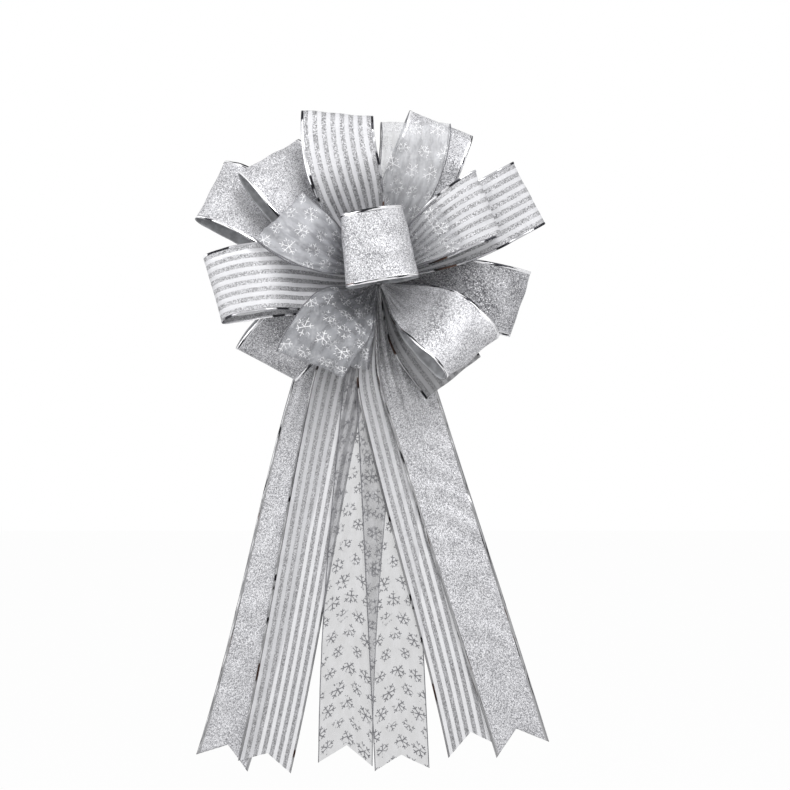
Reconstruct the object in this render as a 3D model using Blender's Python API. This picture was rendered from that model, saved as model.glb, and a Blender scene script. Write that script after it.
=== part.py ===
"""A pre-made gift bow: ribbon loops and swallow-tailed streamers gathered on one tied core.

Metres, +Z up, the bow's front faces -Y. The origin is the middle of the core's flat
back, which lies on the wall, door or gift that the bow is tied to. Each loop and
each streamer is a single band of ribbon, pleated narrow where the tie holds it.
"""
import math
from dataclasses import dataclass

import bpy
import numpy as np

# Ribbon stock
LOOP_RIBBON_WIDTH = 0.077
STREAMER_RIBBON_WIDTH = 0.062
RIBBON_THICKNESS = 0.0008

# The gathered neck of every band
NECK_WIDTH = 0.009
PLEAT_DEPTH = 0.0007
PLEAT_LENGTH = 0.075
LEG_GAP = 0.0026
RISE_SHARE = 0.70
DROP_POWER = 1.25
CLEARANCE = 0.0003
LAYER_CLEARANCE = 0.0006

# The gathered core and the wire that ties it
CORE_RADIUS = 0.0070
CORE_BACK_MARGIN = 0.0030
CORE_SIDES = 24
WIRE_RADIUS = 0.0007
WIRE_END_LENGTH = 0.075
WIRE_END_SPREAD = 24.0
WIRE_SIDES = 10

# The longest streamer, and how far apart the layers are where the streamers hang free
STREAMER_LENGTH = 0.579
STREAMER_HANGING_GAP = 0.0018
STREAMER_GATHER = 0.13
STREAMER_FOLD_LENGTH = 0.22

# Mesh resolution
LOOP_STEPS = 18
STREAMER_STEPS = 18
CELLS_ACROSS = 6

PLEATED_LEG = 2 * PLEAT_DEPTH + RIBBON_THICKNESS
LOOP_NECK = LEG_GAP + PLEATED_LEG
STREAMER_PITCH = PLEATED_LEG + LAYER_CLEARANCE
LOOP_PITCH = LOOP_NECK + LAYER_CLEARANCE
NECK_START = CORE_RADIUS + CLEARANCE

FORWARD = np.array((0.0, -1.0, 0.0))


@dataclass(frozen=True)
class Loop:
    """A loop of ribbon, laid out from the tie.

    azimuth: degrees from +X towards +Z, of the line from the tie to the tip
    reach: distance from the tie to the tip, seen from the front
    layer: which layer of the tie holds its neck, 0 at the back
    tip_depth: distance of the tip's middle in front of the back plane
    opening: widest space between the two legs
    roll: degrees that the band turns about its own length, front leg clockwise
    bend: degrees that the tip turns aside from the azimuth
    gather: length over which the band fans out to its full width
    """

    name: str
    ribbon: str
    azimuth: float
    reach: float
    layer: int
    tip_depth: float
    opening: float
    roll: float
    bend: float = 0.0
    gather: float = 0.100


@dataclass(frozen=True)
class Streamer:
    """A free hanging end of ribbon with a swallow-tail cut.

    azimuth: degrees from +X of the line from the tie to the foot
    trim: how much shorter than the longest streamer it is cut
    layer: place in the stack of streamers, 0 at the back
    bow: how far the middle of its length stands aside of that line
    notch: depth of the swallow-tail
    spread: how far its upper part stands aside, where the gather pushes it out
    """

    name: str
    ribbon: str
    azimuth: float
    trim: float
    layer: int
    bow: float
    notch: float
    spread: float = 0.0


LOOPS = (
    Loop("loop_glitter_far_left", "glitter", 152, 0.213, 0, 0.030, 0.034, 17, 5),
    Loop("loop_glitter_top_right", "glitter", 68, 0.190, 0, 0.026, 0.032, 8, 2),
    Loop("loop_glitter_right", "glitter", -10, 0.163, 0, 0.028, 0.030, 7, -7),
    Loop("loop_glitter_upper_left", "glitter", 132.5, 0.178, 1, 0.064, 0.034, 16, -10, 0.13),
    Loop("loop_stripe_right_back", "stripe", 29, 0.190, 1, 0.061, 0.020, 6, -1, 0.14),
    Loop("loop_stripe_lower_right", "stripe", -53, 0.139, 1, 0.050, 0.026, 0, 0),
    Loop("loop_glitter_lower_left", "glitter", 218, 0.156, 1, 0.052, 0.030, -12, 22),
    Loop("loop_snowflake_top_right", "snowflake", 76, 0.172, 2, 0.073, 0.020, 6, 14, 0.18),
    Loop("loop_stripe_left", "stripe", 186, 0.176, 2, 0.106, 0.028, 14, 12, 0.11),
    Loop("loop_stripe_top", "stripe", 104, 0.176, 3, 0.104, 0.026, 5, -18, 0.14),
    Loop("loop_stripe_right_front", "stripe", 33, 0.143, 3, 0.085, 0.018, 5, -10, 0.16),
    Loop("loop_glitter_lower_right", "glitter", -42, 0.136, 3, 0.112, 0.034, -17, -9, 0.12),
    Loop("loop_snowflake_bottom", "snowflake", 246, 0.106, 3, 0.085, 0.018, 4, 14, 0.16),
    Loop("loop_snowflake_upper_left", "snowflake", 150, 0.119, 4, 0.120, 0.016, 4, -16, 0.18),
    Loop("loop_snowflake_right", "snowflake", 34, 0.094, 4, 0.099, 0.010, 4, -4, 0.20),
    Loop("loop_snowflake_lower_left", "snowflake", 234, 0.120, 4, 0.117, 0.022, -6, 14),
)

CENTRE_LOOP_NAME = "loop_glitter_centre"
CENTRE_LOOP_FRONT = 0.138
CENTRE_LOOP_OPENING = 0.072
CENTRE_LOOP_TAPER = 0.08
CENTRE_LOOP_DROP = 0.007
CENTRE_LOOP_LEAN = 9.0

STREAMERS = (
    Streamer("streamer_glitter_left", "glitter", -108.0, 0.0, 0, 0.0, 0.022, -0.028),
    Streamer("streamer_stripe_left", "stripe", -103.2, 0.010, 1, 0.0, 0.016, -0.017),
    Streamer("streamer_snowflake_left", "snowflake", -93.9, 0.028, 2, -0.010, 0.022),
    Streamer("streamer_snowflake_right", "snowflake", -87.2, 0.024, 3, 0.0, 0.017),
    Streamer("streamer_stripe_right", "stripe", -78.4, 0.034, 4, 0.0, 0.024, -0.018),
    Streamer("streamer_glitter_right", "glitter", -72.9, 0.025, 5, 0.0, 0.025, -0.004),
)

RIBBONS = {
    # name: base colour, metallic, roughness
    "glitter": ((0.62, 0.63, 0.65, 1.0), 0.6, 0.45),
    "stripe": ((0.88, 0.88, 0.90, 1.0), 0.1, 0.50),
    "snowflake": ((0.72, 0.73, 0.77, 1.0), 0.0, 0.60),
    "core": ((0.30, 0.30, 0.33, 1.0), 0.0, 0.80),
    "wire": ((0.70, 0.70, 0.72, 1.0), 1.0, 0.30),
}

STREAMERS_FRONT = CORE_BACK_MARGIN + len(STREAMERS) * STREAMER_PITCH


def loop_neck_depth(layer):
    """Depth of the middle of a loop's neck. Layers in front of 0 clear the streamers."""
    if layer == 0:
        return CORE_BACK_MARGIN + LOOP_NECK / 2
    return STREAMERS_FRONT + LOOP_PITCH * (layer - 0.5)


def streamer_neck_depth(layer):
    return CORE_BACK_MARGIN + STREAMER_PITCH * (layer + 0.5)


FRONT_LAYER = max(loop.layer for loop in LOOPS)
CORE_LENGTH = loop_neck_depth(FRONT_LAYER) + LOOP_NECK / 2 + CLEARANCE


def smooth(x):
    """3x^2 - 2x^3, held at 0 before x = 0 and at 1 after x = 1."""
    x = np.clip(x, 0.0, 1.0)
    return x * x * (3.0 - 2.0 * x)


def unit(v):
    return v / np.linalg.norm(v, axis=-1, keepdims=True)


def directions(azimuth):
    """Outward and sideways (anticlockwise) directions in the bow's upright plane."""
    a = math.radians(azimuth)
    return (
        np.array((math.cos(a), 0.0, math.sin(a))),
        np.array((-math.sin(a), 0.0, math.cos(a))),
    )


def half_width(distance, full_width, gather):
    """Half the band's width at a distance from its neck: it fans out over gather."""
    fan = np.sin(np.clip(distance / gather, 0.0, 1.0) * math.pi / 2)
    return (NECK_WIDTH + (full_width - NECK_WIDTH) * fan) / 2


def pleats(distance, length):
    """Zigzag pleats, deepest at the neck and gone at length: one value per band point."""
    zigzag = np.where(np.arange(CELLS_ACROSS + 1) % 2 == 0, 1.0, -1.0)
    depth = PLEAT_DEPTH * (1.0 - smooth(distance / length))
    return depth[:, None] * zigzag[None, :]


def drop_shape(phi, q, opening):
    """How far each leg stands off the loop's middle line: sin(phi) q^DROP_POWER, scaled.

    phi runs 0 to 2 pi along the band and q = (1 - cos(phi)) / 2 is how far out it is,
    which gives the drop shape of a ribbon loop. Next to the tie the legs lie LEG_GAP
    apart, middle to middle.
    """
    shape = np.sin(phi) * q**DROP_POWER
    side = np.sign(np.where(np.isclose(phi, math.pi), 0.0, math.pi - phi))
    return opening / 2 * shape / shape.max() + side * LEG_GAP / 2 * (1.0 - q) ** 4


def band_grid(middle, off, normal, width, across):
    """Points of a band from its middle line, its offsets off that and its half width."""
    place = np.linspace(-1.0, 1.0, CELLS_ACROSS + 1)
    return (
        middle[:, None, :]
        + off[:, :, None] * normal[:, None, :]
        + (width[:, None] * place[None, :])[:, :, None] * across[:, None, :]
    )


def loop_points(loop):
    """Grid of points of a loop's band, steps along it by cells across.

    The band's middle rises off its layer as a function of the distance from the tie
    alone, so that loops of different layers stay apart near the tie.
    """
    phi = np.linspace(0.0, 2.0 * math.pi, LOOP_STEPS + 1)
    q = (1.0 - np.cos(phi)) / 2.0
    outward, sideways = directions(loop.azimuth)
    start_depth = loop_neck_depth(loop.layer)
    length = loop.reach - NECK_START

    def rise(t):
        return (loop.tip_depth - start_depth) * smooth(t / RISE_SHARE)

    def axis(t):
        aside = length * math.tan(math.radians(loop.bend)) * (t**3 - t**2)
        return (
            (NECK_START + length * t)[:, None] * outward
            + aside[:, None] * sideways
            + (start_depth + rise(t))[:, None] * FORWARD
        )

    along = unit(axis(q + 1e-4) - axis(q - 1e-4))
    side = unit(np.cross(FORWARD, along))
    face = np.cross(along, side)
    distance = np.linalg.norm(axis(q) - axis(np.zeros(1)), axis=1)
    roll = math.radians(loop.roll) * smooth(distance / (0.6 * loop.reach))
    across = np.cos(roll)[:, None] * side + np.sin(roll)[:, None] * face
    normal = np.cos(roll)[:, None] * face - np.sin(roll)[:, None] * side
    width = half_width(distance, LOOP_RIBBON_WIDTH, loop.gather)
    off = drop_shape(phi, q, loop.opening)[:, None] + pleats(distance, PLEAT_LENGTH)
    points = band_grid(axis(q), off, normal, width, across)
    from_tie = np.hypot(points[:, :, 0], points[:, :, 2])
    middle = np.hypot(axis(q)[:, 0], axis(q)[:, 2])[:, None]
    extra = rise((from_tie - NECK_START) / length) - rise((middle - NECK_START) / length)
    return points + extra[:, :, None] * FORWARD


def centre_loop_points():
    """Grid of points of the centre loop, which stands forward off the core's front.

    Its width is upright, with a slight lean. Its lower edge drops a little in front of
    the tie, the band rises above that as it fans out, and its legs go left and right,
    further apart at the lower edge than at the upper one.
    """
    phi = np.linspace(0.0, 2.0 * math.pi, LOOP_STEPS + 1)
    q = (1.0 - np.cos(phi)) / 2.0
    start = CORE_LENGTH + CLEARANCE
    distance = (CENTRE_LOOP_FRONT - start) * q
    width = half_width(distance, LOOP_RIBBON_WIDTH, 0.6 * (CENTRE_LOOP_FRONT - start))
    spread = (width - NECK_WIDTH / 2) / (LOOP_RIBBON_WIDTH - NECK_WIDTH) * 2
    lower_edge = -NECK_WIDTH / 2 - CENTRE_LOOP_DROP * spread
    middle = (start + distance)[:, None] * FORWARD
    middle[:, 2] += lower_edge + width
    place = np.linspace(-1.0, 1.0, CELLS_ACROSS + 1)
    taper = 1.0 - CENTRE_LOOP_TAPER * place[None, :] * smooth(q / 0.5)[:, None]
    off = drop_shape(phi, q, CENTRE_LOOP_OPENING)[:, None] * taper
    off = off + pleats(distance, PLEAT_LENGTH)
    lean = math.radians(CENTRE_LOOP_LEAN) * spread
    across = np.stack((-np.sin(lean), np.zeros_like(lean), np.cos(lean)), axis=1)
    normal = np.stack((-np.cos(lean), np.zeros_like(lean), -np.sin(lean)), axis=1)
    return band_grid(middle, off, normal, width, across)


def streamer_points(streamer):
    """Grid of points of a streamer's band, from its neck to its notched foot.

    Its depth is a function of the distance from the tie alone, so that a streamer that
    swings about the tie stays between its neighbours.
    """
    outward, sideways = directions(streamer.azimuth)
    place = np.linspace(-1.0, 1.0, CELLS_ACROSS + 1)
    t = np.linspace(0.0, 1.0, STREAMER_STEPS + 1) ** 1.35
    end = STREAMER_LENGTH - streamer.trim - streamer.notch * (1.0 - np.abs(place))
    radius = NECK_START + t[:, None] * (end[None, :] - NECK_START)
    distance = radius.mean(axis=1) - NECK_START
    width = half_width(distance, STREAMER_RIBBON_WIDTH, STREAMER_GATHER)
    aside = streamer.bow * np.sin(math.pi * t) * t
    aside = aside + streamer.spread * smooth(t / 0.2) * (1.0 - smooth((t - 0.15) / 0.85))
    offset = width[:, None] * place[None, :] + aside[:, None]
    flat = radius[:, :, None] * outward + offset[:, :, None] * sideways
    reached = np.linalg.norm(flat, axis=2)
    depth = streamer_neck_depth(streamer.layer) + (
        STREAMER_HANGING_GAP * streamer.layer * smooth((reached - NECK_START) / STREAMER_GATHER)
    )
    depth = depth + pleats(distance, STREAMER_FOLD_LENGTH)
    return flat + depth[:, :, None] * FORWARD


def material(name):
    colour, metallic, roughness = RIBBONS[name]
    found = bpy.data.materials.get(name)
    if found:
        return found
    made = bpy.data.materials.new(name)
    made.use_nodes = True
    shader = made.node_tree.nodes["Principled BSDF"]
    shader.inputs["Base Color"].default_value = colour
    shader.inputs["Metallic"].default_value = metallic
    shader.inputs["Roughness"].default_value = roughness
    return made


def add_object(name, mesh, material_name):
    mesh.materials.append(material(material_name))
    mesh.shade_smooth()
    obj = bpy.data.objects.new(name, mesh)
    bpy.context.scene.collection.objects.link(obj)
    return obj


def band(name, points, material_name):
    """A band of ribbon: a grid of quads through the points, given its thickness."""
    rows, columns = points.shape[:2]
    index = np.arange(rows * columns).reshape(rows, columns)
    quads = np.stack((index[:-1, :-1], index[1:, :-1], index[1:, 1:], index[:-1, 1:]), axis=-1)
    mesh = bpy.data.meshes.new(name)
    mesh.from_pydata(points.reshape(-1, 3).tolist(), [], quads.reshape(-1, 4).tolist())
    obj = add_object(name, mesh, material_name)
    solidify = obj.modifiers.new("Thickness", "SOLIDIFY")
    solidify.thickness = RIBBON_THICKNESS
    solidify.offset = 0.0
    return obj


def tube(name, path, closed, radius, material_name, origin=(0.0, 0.0, 0.0)):
    """A round wire along a path of points, with its object's origin where it turns."""
    curve = bpy.data.curves.new(name, "CURVE")
    curve.dimensions = "3D"
    curve.bevel_depth = radius
    curve.bevel_resolution = (WIRE_SIDES - 4) // 2
    curve.use_fill_caps = not closed
    spline = curve.splines.new("POLY")
    spline.points.add(len(path) - 1)
    for point, place in zip(spline.points, path - np.array(origin)):
        point.co = (*place, 1.0)
    spline.use_cyclic_u = closed
    curve.materials.append(material(material_name))
    obj = bpy.data.objects.new(name, curve)
    obj.location = origin
    bpy.context.scene.collection.objects.link(obj)
    return obj


def core():
    """The pinched middle of all the ribbons: a round bundle with a flat back and front."""
    turn = np.linspace(0.0, 2.0 * math.pi, CORE_SIDES, endpoint=False)
    ring = np.stack((np.cos(turn), np.zeros_like(turn), np.sin(turn)), axis=1) * CORE_RADIUS
    points = np.concatenate((ring, ring + CORE_LENGTH * FORWARD))
    sides = [
        (i, (i + 1) % CORE_SIDES, (i + 1) % CORE_SIDES + CORE_SIDES, i + CORE_SIDES)
        for i in range(CORE_SIDES)
    ]
    back = tuple(reversed(range(CORE_SIDES)))
    front = tuple(range(CORE_SIDES, 2 * CORE_SIDES))
    mesh = bpy.data.meshes.new("gathered_core")
    mesh.from_pydata(points.tolist(), [], [*sides, back, front])
    return add_object("gathered_core", mesh, "core")


def tie_wire():
    """The wire wound once round the core's back margin, and its two loose ends."""
    ring_radius = CORE_RADIUS + CLEARANCE + WIRE_RADIUS
    depth = CORE_BACK_MARGIN / 2
    turn = np.linspace(0.0, 2.0 * math.pi, 32, endpoint=False)
    ring = np.stack((np.cos(turn) * ring_radius, np.full_like(turn, -depth),
                     np.sin(turn) * ring_radius), axis=1)
    tube("tie_wire", ring, True, WIRE_RADIUS, "wire")
    start = ring_radius + WIRE_RADIUS + CLEARANCE
    for name, azimuth in (
        ("tie_wire_end_left", -90.0 - WIRE_END_SPREAD),
        ("tie_wire_end_right", -90.0 + WIRE_END_SPREAD),
    ):
        outward, _ = directions(azimuth)
        reach = np.linspace(start, start + WIRE_END_LENGTH, 12)
        path = reach[:, None] * outward + depth * FORWARD
        tube(name, path, False, WIRE_RADIUS, "wire", path[0])


def main():
    for obj in list(bpy.data.objects):
        bpy.data.objects.remove(obj)
    core()
    tie_wire()
    for loop in LOOPS:
        band(loop.name, loop_points(loop), loop.ribbon)
    band(CENTRE_LOOP_NAME, centre_loop_points(), "glitter")
    for streamer in STREAMERS:
        band(streamer.name, streamer_points(streamer), streamer.ribbon)


main()
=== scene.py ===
"""A pre-made gift bow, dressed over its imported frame.

Sixteen ribbon loops fan out round a standing centre loop, and six swallow-tailed
streamers hang from the same tie. Every band of ribbon is a surface worked out from its
own few sizes: the line its middle follows, how far its two legs stand apart, how it fans
out of its gathered neck, and the folds that the gathering leaves in it. Metres, +Z up,
the front faces -Y, and the origin is the middle of the tie's flat back.
"""

import logging
import math
from dataclasses import dataclass, field
from enum import Enum

import bpy  # noqa: E402
import numpy as np  # noqa: E402
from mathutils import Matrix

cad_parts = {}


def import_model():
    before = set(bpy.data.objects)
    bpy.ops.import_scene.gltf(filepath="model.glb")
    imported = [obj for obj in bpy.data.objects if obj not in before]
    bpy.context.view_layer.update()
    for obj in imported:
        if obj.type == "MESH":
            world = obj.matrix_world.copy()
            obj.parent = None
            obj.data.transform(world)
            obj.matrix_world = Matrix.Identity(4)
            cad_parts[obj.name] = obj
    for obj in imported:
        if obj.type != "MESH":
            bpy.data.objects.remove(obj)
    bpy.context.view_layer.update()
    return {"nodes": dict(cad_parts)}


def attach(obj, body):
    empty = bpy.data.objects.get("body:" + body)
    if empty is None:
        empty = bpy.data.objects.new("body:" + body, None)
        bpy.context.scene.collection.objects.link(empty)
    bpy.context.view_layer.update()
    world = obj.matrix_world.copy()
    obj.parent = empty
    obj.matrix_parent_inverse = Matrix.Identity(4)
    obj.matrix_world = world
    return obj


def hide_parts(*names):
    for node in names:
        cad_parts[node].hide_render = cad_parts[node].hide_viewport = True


Array = np.ndarray
Colour = tuple[float, float, float, float]
Socket = bpy.types.NodeSocket
Finish = tuple[bpy.types.Material, bpy.types.Material]
LOG = logging.getLogger("gift_bow")
FORWARD = np.array((0.0, -1.0, 0.0))
TURN = 2.0 * math.pi
COS_60, SIN_60 = 0.5, 0.8660
LOOP_ROWS, STREAMER_ROWS, COLUMNS, BEAD_SIDES = 168, 230, 44, 8
WHITE = (1.0, 1.0, 1.0, 1.0)

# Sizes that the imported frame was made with: the longest streamer, then the tie
STREAMER_LENGTH = 0.579
NECK_WIDTH = 0.009
LEG_GAP = 0.0026
RISE_SHARE = 0.70
DROP_POWER = 1.25
CLEARANCE = 0.0003
CORE_RADIUS = 0.0070
CORE_BACK_MARGIN = 0.0030
PLEATED_LEG = 0.0022
STREAMER_PITCH = 0.0028
LOOP_PITCH = 0.0054
LOOP_NECK = LEG_GAP + PLEATED_LEG
NECK_START = CORE_RADIUS + CLEARANCE
STREAMERS_FRONT = CORE_BACK_MARGIN + 6 * STREAMER_PITCH
FRONT_LAYER = 4
CORE_LENGTH = STREAMERS_FRONT + LOOP_PITCH * (FRONT_LAYER - 0.5) + LOOP_NECK / 2 + CLEARANCE


class Ribbon(Enum):
    """The three kinds of ribbon in the bow."""

    GLITTER = "glitter"
    STRIPE = "stripe"
    SNOWFLAKE = "snowflake"


@dataclass(frozen=True)
class Stock:
    """How a kind of ribbon is made.

    sheet: thickness of the cloth
    hem: width of the wired edge
    bead: thickness of the wired edge
    fold: depth of the folds that gathering leaves
    crumple: depth of the soft unevenness of its face
    sheer: whether light passes through the cloth
    """

    sheet: float
    hem: float
    bead: float
    fold: float
    crumple: float
    sheer: bool


STOCKS = {
    Ribbon.GLITTER: Stock(0.00040, 0.0034, 0.0014, 0.0012, 0.0007, False),
    Ribbon.STRIPE: Stock(0.00025, 0.0026, 0.0011, 0.0010, 0.0006, True),
    Ribbon.SNOWFLAKE: Stock(0.00020, 0.0012, 0.0009, 0.0013, 0.0008, True),
}


def smooth(x: Array) -> Array:
    """3x^2 - 2x^3, held at 0 before x = 0 and at 1 after x = 1."""
    x = np.clip(x, 0.0, 1.0)
    return x * x * (3.0 - 2.0 * x)


def unit(v: Array) -> Array:
    """Vectors of length one in the directions of v."""
    return v / np.maximum(np.linalg.norm(v, axis=-1, keepdims=True), 1e-12)


def directions(azimuth: float) -> tuple[Array, Array]:
    """Outward at an azimuth in the upright plane, and sideways, a quarter turn anticlockwise."""
    a = math.radians(azimuth)
    return np.array((math.cos(a), 0.0, math.sin(a))), np.array((-math.sin(a), 0.0, math.cos(a)))


def half_width(distance: Array, full_width: float, gather: float) -> Array:
    """Half the band's width: NECK_WIDTH at the neck, fanning out by a sine over gather."""
    fan = np.sin(np.clip(distance / gather, 0.0, 1.0) * math.pi / 2)
    return (NECK_WIDTH + (full_width - NECK_WIDTH) * fan) / 2


def drop_shape(phi: Array, q: Array, opening: float) -> Array:
    """How far each leg stands off the loop's middle line: sin(phi) q^DROP_POWER, scaled.

    Args:
        phi: 0 to 2 pi along the band.
        q: (1 - cos(phi)) / 2, how far out the band is.
        opening: widest space between the legs.

    Returns:
        Signed offsets, positive on the first leg.
    """
    shape = np.sin(phi) * q**DROP_POWER
    side = np.sign(np.where(np.isclose(phi, math.pi), 0.0, math.pi - phi))
    return opening / 2 * shape / shape.max() + side * LEG_GAP / 2 * (1.0 - q) ** 4


def face_normals(points: Array) -> Array:
    """Normals of a grid: the cross product of its steps along and across."""
    return unit(np.cross(np.gradient(points, axis=0), np.gradient(points, axis=1)))


def arc_length(line: Array) -> Array:
    """Distance along a line of points, 0 at its first."""
    steps = np.linalg.norm(np.diff(line, axis=0), axis=1)
    return np.concatenate(([0.0], np.cumsum(steps)))


@dataclass(frozen=True)
class Sheet:
    """A band's fine surface: a grid of points, its normals and its flat measures.

    out is each row's distance from the neck that holds it.
    """

    points: Array
    normals: Array
    along: Array
    across: Array
    out: Array


@dataclass(frozen=True)
class Creases:
    """The folds and unevenness of one band, from a seed of its own.

    depth, waves: how deep and how close the folds are, as shares of the usual
    folds: waves across the width and share of the depth of each set of folds
    bumps: how many sines the unevenness is the sum of
    ripple: how far the wired edges wave
    """

    seed: int
    stock: Stock
    width: float
    gather: float
    depth: float = 1.0
    waves: float = 1.0
    folds: tuple = ((2.5, 0.8), (4.0, 1.0), (6.5, 0.55))
    bumps: int = 7
    ripple: float = 0.0007

    def pressed(self, points: Array, along: Array, place: Array, distance: Array) -> Sheet:
        """Moves each point of a band along its normal.

        Folds run lengthwise out of the neck: three sines across the width, sharpened,
        deepest a third of the way out. The wired edges wave gently, and the whole face
        has a soft unevenness, a sum of sines in random directions.

        Args:
            points: the smooth surface, rows by columns.
            along: distances along the band, one a row.
            place: -1 to 1 across the band, one a column.
            distance: distances from the neck, one a row.

        Returns:
            The fine surface.
        """
        rng = np.random.default_rng(self.seed)
        s = place[None, :] * np.ones((len(along), 1))
        u = along[:, None] * np.ones((1, len(place)))
        out = np.clip(distance / self.gather, 0.0, 1.6)[:, None]
        folds = np.zeros_like(s)
        for waves, share in self.folds:
            drift = 0.35 * np.sin(u / self.gather * rng.uniform(1.5, 3.0) + rng.uniform(0, 6.3))
            wave = np.sin(math.pi * waves * self.waves * (s + 0.12 * drift) + rng.uniform(0, 6.3))
            folds += share * np.sign(wave) * np.abs(wave) ** 0.75
        fold = self.stock.fold * self.depth * folds / 1.9
        fold *= 0.45 * (1.0 - smooth(out / 0.5)) + smooth(out / 0.35) * (1.0 - smooth(out / 1.15))
        uneven = np.zeros_like(s)
        for _ in range(self.bumps):
            turn, size = rng.uniform(0, math.pi), rng.uniform(0.024, 0.060)
            run = u * math.cos(turn) + s * self.width / 2 * math.sin(turn)
            uneven += np.sin(run * TURN / size + rng.uniform(0, 6.3)) / self.bumps**0.5
        calm = min(self.depth, 1.0)
        uneven *= self.stock.crumple * calm * smooth(out / 0.6)
        edge = np.zeros_like(s)
        for side in (-1.0, 1.0):
            size = rng.uniform(0.022, 0.034)
            wave = np.sin(u * TURN / size + rng.uniform(0, 6.3))
            wave += 0.6 * np.sin(u * TURN / (size * 1.7) + rng.uniform(0, 6.3))
            edge += wave * np.clip(side * s, 0.0, 1.0) ** 5
        edge *= self.ripple * calm * smooth(out / 0.7)
        points = points + face_normals(points) * (fold + uneven + edge)[:, :, None]
        return Sheet(points, face_normals(points), along, place * self.width / 2, distance)


def round_trip(rows: int, columns: int) -> tuple[Array, Array, Array]:
    """A loop's grid: phi from 0 to 2 pi, how far out (1 - cos(phi)) / 2, places from -1 to 1."""
    phi = np.linspace(0.0, TURN, rows + 1)
    return phi, (1.0 - np.cos(phi)) / 2.0, np.linspace(-1.0, 1.0, columns + 1)


def laid_out(line: Array, stand: Array, reach: Array, across: Array) -> Array:
    """Points of a band: its middle line, plus its stand-off, plus reach times across."""
    return line[:, None, :] + stand + reach[:, :, None] * across[:, None, :]


@dataclass(frozen=True)
class Band:
    """What every band of ribbon has: its node's name, its ribbon and its body."""

    name: str
    body: str
    ribbon: Ribbon


@dataclass(frozen=True)
class Loop(Band):
    """A loop of ribbon, laid out from the tie.

    azimuth: degrees from +X towards +Z, of the line from the tie to the tip
    reach: distance from the tie to the tip, seen from the front
    layer: which layer of the tie holds its neck, 0 at the back
    tip_depth: distance of the tip's middle in front of the back plane
    opening: widest space between the two legs
    roll: degrees that the band turns about its own length
    bend: degrees that the tip turns aside from the azimuth
    gather: length over which the band fans out
    pleats: how much deeper and closer its folds are than the ribbon's usual ones
    """

    azimuth: float
    reach: float
    layer: int
    tip_depth: float
    opening: float
    roll: float
    bend: float
    gather: float = 0.100
    width: float = 0.077
    seed: int = 1
    pleats: float = 1.0

    def neck_depth(self) -> float:
        """Depth of the middle of the loop's neck."""
        front = STREAMERS_FRONT + LOOP_PITCH * (self.layer - 0.5)
        return front if self.layer else CORE_BACK_MARGIN + LOOP_NECK / 2

    def sheet(self) -> Sheet:
        """The loop's fine surface with its folds.

        The middle line runs out along the azimuth, aside by tan(bend) (t^3 - t^2) and
        forward by an eased rise. The band turns by its roll on the way out, its legs
        stand off by the drop shape, and each point's rise is then taken at its own
        distance from the tie, so that loops of neighbouring layers stay apart.

        Returns:
            The surface.
        """
        phi, q, place = round_trip(LOOP_ROWS, COLUMNS)
        outward, sideways = directions(self.azimuth)
        start_depth = self.neck_depth()
        length = self.reach - NECK_START

        def rise(t: Array) -> Array:
            """Rise of the band at a share of its reach."""
            return (self.tip_depth - start_depth) * smooth(t / RISE_SHARE)

        def axis(t: Array) -> Array:
            """The middle line.

            Args:
                t: shares of its reach.

            Returns:
                A point for each share.
            """
            aside = length * math.tan(math.radians(self.bend)) * (t**3 - t**2)
            out = (NECK_START + length * t)[:, None] * outward + aside[:, None] * sideways
            return out + (start_depth + rise(t))[:, None] * FORWARD

        line = axis(q)
        ahead = unit(axis(q + 1e-4) - axis(q - 1e-4))
        side = unit(np.cross(FORWARD, ahead))
        face = np.cross(ahead, side)
        distance = np.linalg.norm(line - axis(np.zeros(1)), axis=1)
        roll = math.radians(self.roll) * smooth(distance / (0.6 * self.reach))
        across = np.cos(roll)[:, None] * side + np.sin(roll)[:, None] * face
        normal = np.cos(roll)[:, None] * face - np.sin(roll)[:, None] * side
        width = half_width(distance, self.width, self.gather)
        off = drop_shape(phi, q, self.opening)
        stand = (off[:, None] * normal)[:, None, :]
        points = laid_out(line, stand, width[:, None] * place[None, :], across)
        from_tie = np.hypot(points[:, :, 0], points[:, :, 2])
        middle = np.hypot(line[:, 0], line[:, 2])[:, None]
        extra = rise((from_tie - NECK_START) / length) - rise((middle - NECK_START) / length)
        points = points + extra[:, :, None] * FORWARD
        along = arc_length(line + off[:, None] * normal)
        stock = STOCKS[self.ribbon]
        waves = 0.35 + 0.65 * self.pleats
        creases = Creases(self.seed, stock, self.width, self.gather, self.pleats, waves)
        return creases.pressed(points, along, place, distance)


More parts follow.
